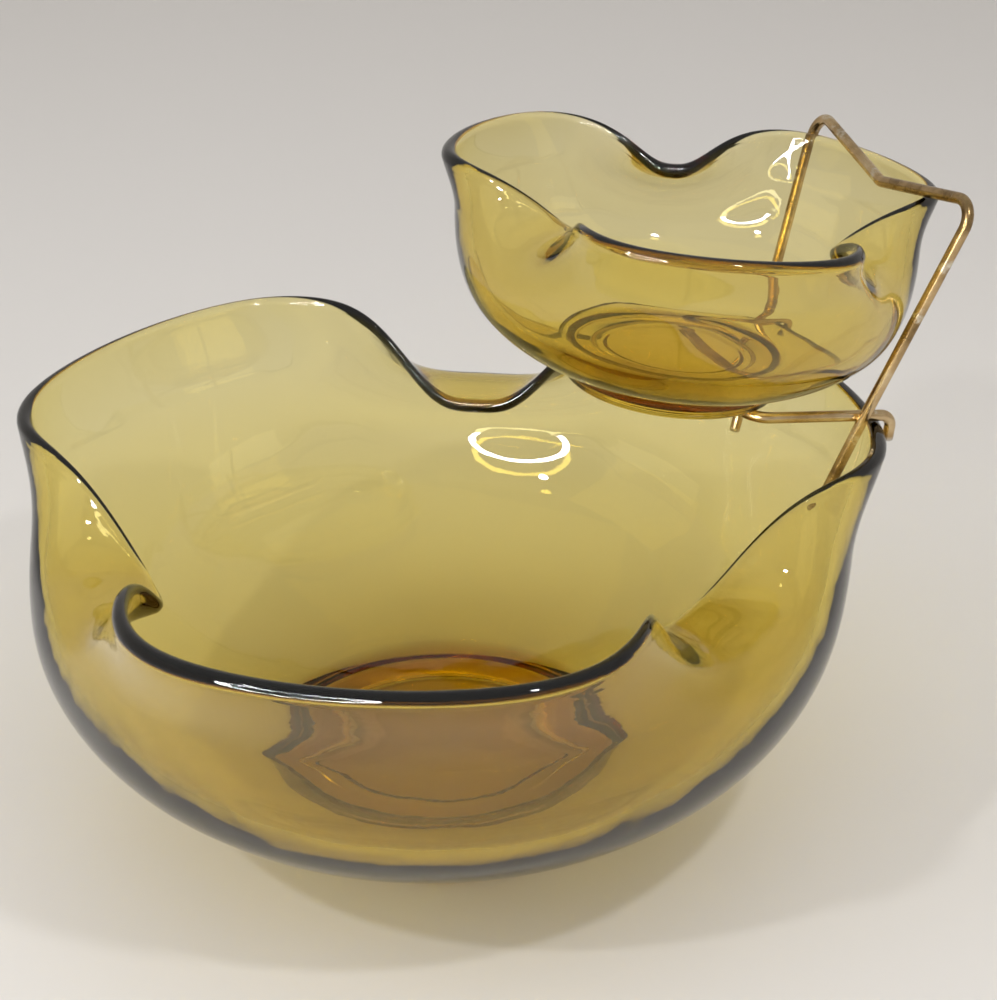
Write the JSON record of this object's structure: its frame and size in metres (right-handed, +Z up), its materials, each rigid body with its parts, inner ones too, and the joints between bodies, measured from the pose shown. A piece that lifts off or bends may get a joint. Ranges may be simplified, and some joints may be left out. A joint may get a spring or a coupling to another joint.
{
  "type": "chip and dip server",
  "caption": "Lobed pressed-glass chip bowl with a smaller matching dip bowl held above its rim in a bent wire bracket.",
  "frame": {"origin": "middle of the underside of the chip bowl's foot, on the table", "axes": "+Z up, +X towards the wire bracket that hangs on the chip bowl's rim"},
  "size_m": [0.2741, 0.2612, 0.1957],
  "materials": {
    "chip_glass": "clear olive-amber pressed glass, fire-polished rim",
    "dip_glass": "clear olive-amber pressed glass, fire-polished rim",
    "wire_plate": "worn, dulled gold-coloured plating on steel wire"
  },
  "bodies": {
    "chip_bowl_body": {"chip_bowl": "chip_glass"},
    "bracket": {"support_wire": "wire_plate", "clip_wire": "wire_plate"},
    "dip_bowl_body": {"dip_bowl": "dip_glass"}
  },
  "joints": [
    {"name": "bracket_lift", "type": "slide", "parent": "chip_bowl_body", "child": "bracket", "axis": [0, 0, 1], "range_m": [0, 0.06]},
    {"name": "dip_bowl_tip", "type": "hinge", "parent": "bracket", "child": "dip_bowl_body", "pos_m": [0.142, 0, 0.1838], "axis": [0, 1, 0], "range_deg": [0, 20]}
  ]
}
